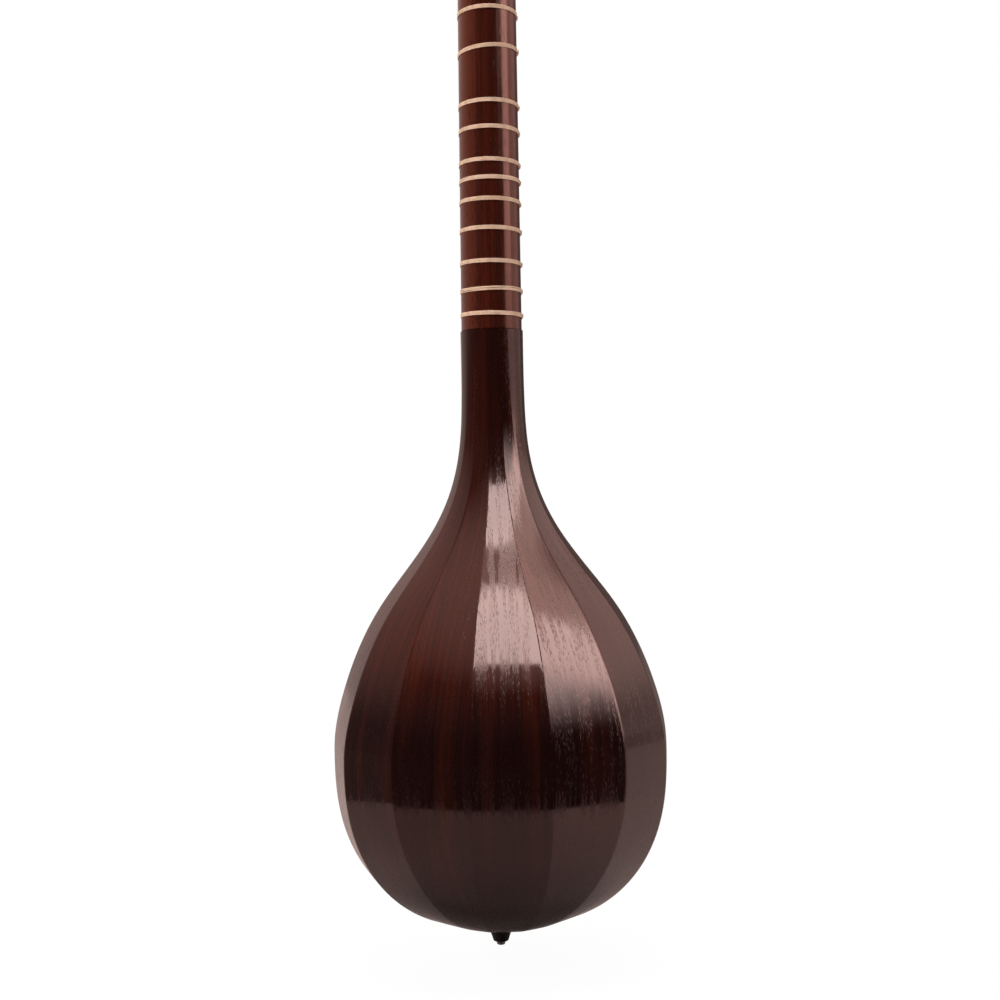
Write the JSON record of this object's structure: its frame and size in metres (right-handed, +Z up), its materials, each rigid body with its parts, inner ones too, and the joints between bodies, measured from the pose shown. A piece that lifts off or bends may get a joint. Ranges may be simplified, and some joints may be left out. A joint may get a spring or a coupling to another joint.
{
  "type": "setar",
  "caption": "Long-necked lute with a deep bowl of bent staves, a thin wooden soundboard, tied gut frets that slide, metal strings and friction tuning pegs.",
  "frame": {"origin": "on the neck's centre line, in the plane of the bowl's rim, at the edge of the nut where the strings begin to sound; a stand's or wall hanger's yoke takes the neck there", "axes": "+Z up the neck towards the head, -Y out of the soundboard towards the listener, +X towards the treble string; the side pegs are on -X"},
  "size_m": [0.1492, 0.1401, 0.8694],
  "materials": {
    "bowl_lacquer": "mulberry stained dark red-brown, gloss lacquer over open pores",
    "neck_lacquer": "walnut stained red-brown, gloss lacquer",
    "dark_wood": "ebony, polished",
    "soundboard_wood": "thin mulberry, satin varnish",
    "inner_wood": "bare",
    "bone": "polished bone",
    "gut": "twisted gut, satin",
    "steel": "bright wire",
    "bronze": "bright wire"
  },
  "bodies": {
    "instrument": {"bowl_stave_1": "bowl_lacquer", "bowl_stave_2": "bowl_lacquer", "bowl_stave_3": "bowl_lacquer", "bowl_stave_4": "bowl_lacquer", "bowl_stave_5": "bowl_lacquer", "bowl_stave_6": "bowl_lacquer", "bowl_stave_7": "bowl_lacquer", "bowl_stave_8": "bowl_lacquer", "bowl_stave_9": "bowl_lacquer", "neck_block": "inner_wood", "end_block": "inner_wood", "rim_lining_bass": "inner_wood", "rim_lining_treble": "inner_wood", "soundboard": "soundboard_wood", "lower_brace": "inner_wood", "upper_brace": "inner_wood", "bridge": "dark_wood", "tail_knob": "dark_wood", "tail_pin": "steel", "neck": "neck_lacquer", "head_cap": "dark_wood", "fingerboard": "dark_wood", "nut": "bone", "treble_string": "steel", "second_string": "bronze", "drone_string": "steel", "bass_string": "bronze"},
    "second_peg": {"second_peg": "dark_wood"},
    "treble_peg": {"treble_peg": "dark_wood"},
    "bass_peg": {"bass_peg": "dark_wood"},
    "drone_peg": {"drone_peg": "dark_wood"},
    "fret_01": {"fret_01": "gut"},
    "fret_02": {"fret_02": "gut"},
    "fret_03": {"fret_03": "gut"},
    "fret_04": {"fret_04": "gut"},
    "fret_05": {"fret_05": "gut"},
    "fret_06": {"fret_06": "gut"},
    "fret_07": {"fret_07": "gut"},
    "fret_08": {"fret_08": "gut"},
    "fret_09": {"fret_09": "gut"},
    "fret_10": {"fret_10": "gut"},
    "fret_11": {"fret_11": "gut"},
    "fret_12": {"fret_12": "gut"},
    "fret_13": {"fret_13": "gut"},
    "fret_14": {"fret_14": "gut"},
    "fret_15": {"fret_15": "gut"},
    "fret_16": {"fret_16": "gut"},
    "fret_17": {"fret_17": "gut"},
    "fret_18": {"fret_18": "gut"},
    "fret_19": {"fret_19": "gut"},
    "fret_20": {"fret_20": "gut"},
    "fret_21": {"fret_21": "gut"},
    "fret_22": {"fret_22": "gut"},
    "fret_23": {"fret_23": "gut"},
    "fret_24": {"fret_24": "gut"},
    "fret_25": {"fret_25": "gut"},
    "fret_26": {"fret_26": "gut"}
  },
  "joints": [
    {"name": "second_peg_turn", "type": "hinge", "parent": "instrument", "child": "second_peg", "pos_m": [0, 0, 0.03186], "axis": [0, -1, 0], "continuous": true},
    {"name": "treble_peg_turn", "type": "hinge", "parent": "instrument", "child": "treble_peg", "pos_m": [0, 0, 0.07611], "axis": [0, -1, 0], "continuous": true},
    {"name": "bass_peg_turn", "type": "hinge", "parent": "instrument", "child": "bass_peg", "pos_m": [-0.01199, 0.006, 0.05428], "axis": [-1, 0, 0], "continuous": true},
    {"name": "drone_peg_turn", "type": "hinge", "parent": "instrument", "child": "drone_peg", "pos_m": [-0.01159, 0.006, 0.09735], "axis": [-1, 0, 0], "continuous": true},
    {"name": "fret_01_slide", "type": "slide", "parent": "instrument", "child": "fret_01", "axis": [0, 0, 1], "range_m": [-0.0025, 0.0025]},
    {"name": "fret_02_slide", "type": "slide", "parent": "instrument", "child": "fret_02", "axis": [0, 0, 1], "range_m": [-0.0025, 0.0025]},
    {"name": "fret_03_slide", "type": "slide", "parent": "instrument", "child": "fret_03", "axis": [0, 0, 1], "range_m": [-0.0025, 0.0025]},
    {"name": "fret_04_slide", "type": "slide", "parent": "instrument", "child": "fret_04", "axis": [0, 0, 1], "range_m": [-0.0025, 0.0025]},
    {"name": "fret_05_slide", "type": "slide", "parent": "instrument", "child": "fret_05", "axis": [0, 0, 1], "range_m": [-0.0025, 0.0025]},
    {"name": "fret_06_slide", "type": "slide", "parent": "instrument", "child": "fret_06", "axis": [0, 0, 1], "range_m": [-0.0025, 0.0025]},
    {"name": "fret_07_slide", "type": "slide", "parent": "instrument", "child": "fret_07", "axis": [0, 0, 1], "range_m": [-0.0025, 0.0025]},
    {"name": "fret_08_slide", "type": "slide", "parent": "instrument", "child": "fret_08", "axis": [0, 0, 1], "range_m": [-0.0025, 0.0025]},
    {"name": "fret_09_slide", "type": "slide", "parent": "instrument", "child": "fret_09", "axis": [0, 0, 1], "range_m": [-0.0025, 0.0025]},
    {"name": "fret_10_slide", "type": "slide", "parent": "instrument", "child": "fret_10", "axis": [0, 0, 1], "range_m": [-0.0025, 0.0025]},
    {"name": "fret_11_slide", "type": "slide", "parent": "instrument", "child": "fret_11", "axis": [0, 0, 1], "range_m": [-0.0025, 0.0025]},
    {"name": "fret_12_slide", "type": "slide", "parent": "instrument", "child": "fret_12", "axis": [0, 0, 1], "range_m": [-0.0025, 0.0025]},
    {"name": "fret_13_slide", "type": "slide", "parent": "instrument", "child": "fret_13", "axis": [0, 0, 1], "range_m": [-0.0025, 0.0025]},
    {"name": "fret_14_slide", "type": "slide", "parent": "instrument", "child": "fret_14", "axis": [0, 0, 1], "range_m": [-0.0025, 0.0025]},
    {"name": "fret_15_slide", "type": "slide", "parent": "instrument", "child": "fret_15", "axis": [0, 0, 1], "range_m": [-0.0025, 0.0025]},
    {"name": "fret_16_slide", "type": "slide", "parent": "instrument", "child": "fret_16", "axis": [0, 0, 1], "range_m": [-0.0025, 0.0025]},
    {"name": "fret_17_slide", "type": "slide", "parent": "instrument", "child": "fret_17", "axis": [0, 0, 1], "range_m": [-0.0025, 0.0025]},
    {"name": "fret_18_slide", "type": "slide", "parent": "instrument", "child": "fret_18", "axis": [0, 0, 1], "range_m": [-0.0025, 0.0025]},
    {"name": "fret_19_slide", "type": "slide", "parent": "instrument", "child": "fret_19", "axis": [0, 0, 1], "range_m": [-0.0025, 0.0025]},
    {"name": "fret_20_slide", "type": "slide", "parent": "instrument", "child": "fret_20", "axis": [0, 0, 1], "range_m": [-0.0025, 0.0025]},
    {"name": "fret_21_slide", "type": "slide", "parent": "instrument", "child": "fret_21", "axis": [0, 0, 1], "range_m": [-0.0025, 0.0025]},
    {"name": "fret_22_slide", "type": "slide", "parent": "instrument", "child": "fret_22", "axis": [0, 0, 1], "range_m": [-0.0025, 0.0025]},
    {"name": "fret_23_slide", "type": "slide", "parent": "instrument", "child": "fret_23", "axis": [0, 0, 1], "range_m": [-0.0025, 0.0025]},
    {"name": "fret_24_slide", "type": "slide", "parent": "instrument", "child": "fret_24", "axis": [0, 0, 1], "range_m": [-0.0025, 0.0025]},
    {"name": "fret_25_slide", "type": "slide", "parent": "instrument", "child": "fret_25", "axis": [0, 0, 1], "range_m": [-0.0025, 0.0025]},
    {"name": "fret_26_slide", "type": "slide", "parent": "instrument", "child": "fret_26", "axis": [0, 0, 1], "range_m": [-0.0025, 0.0025]}
  ]
}
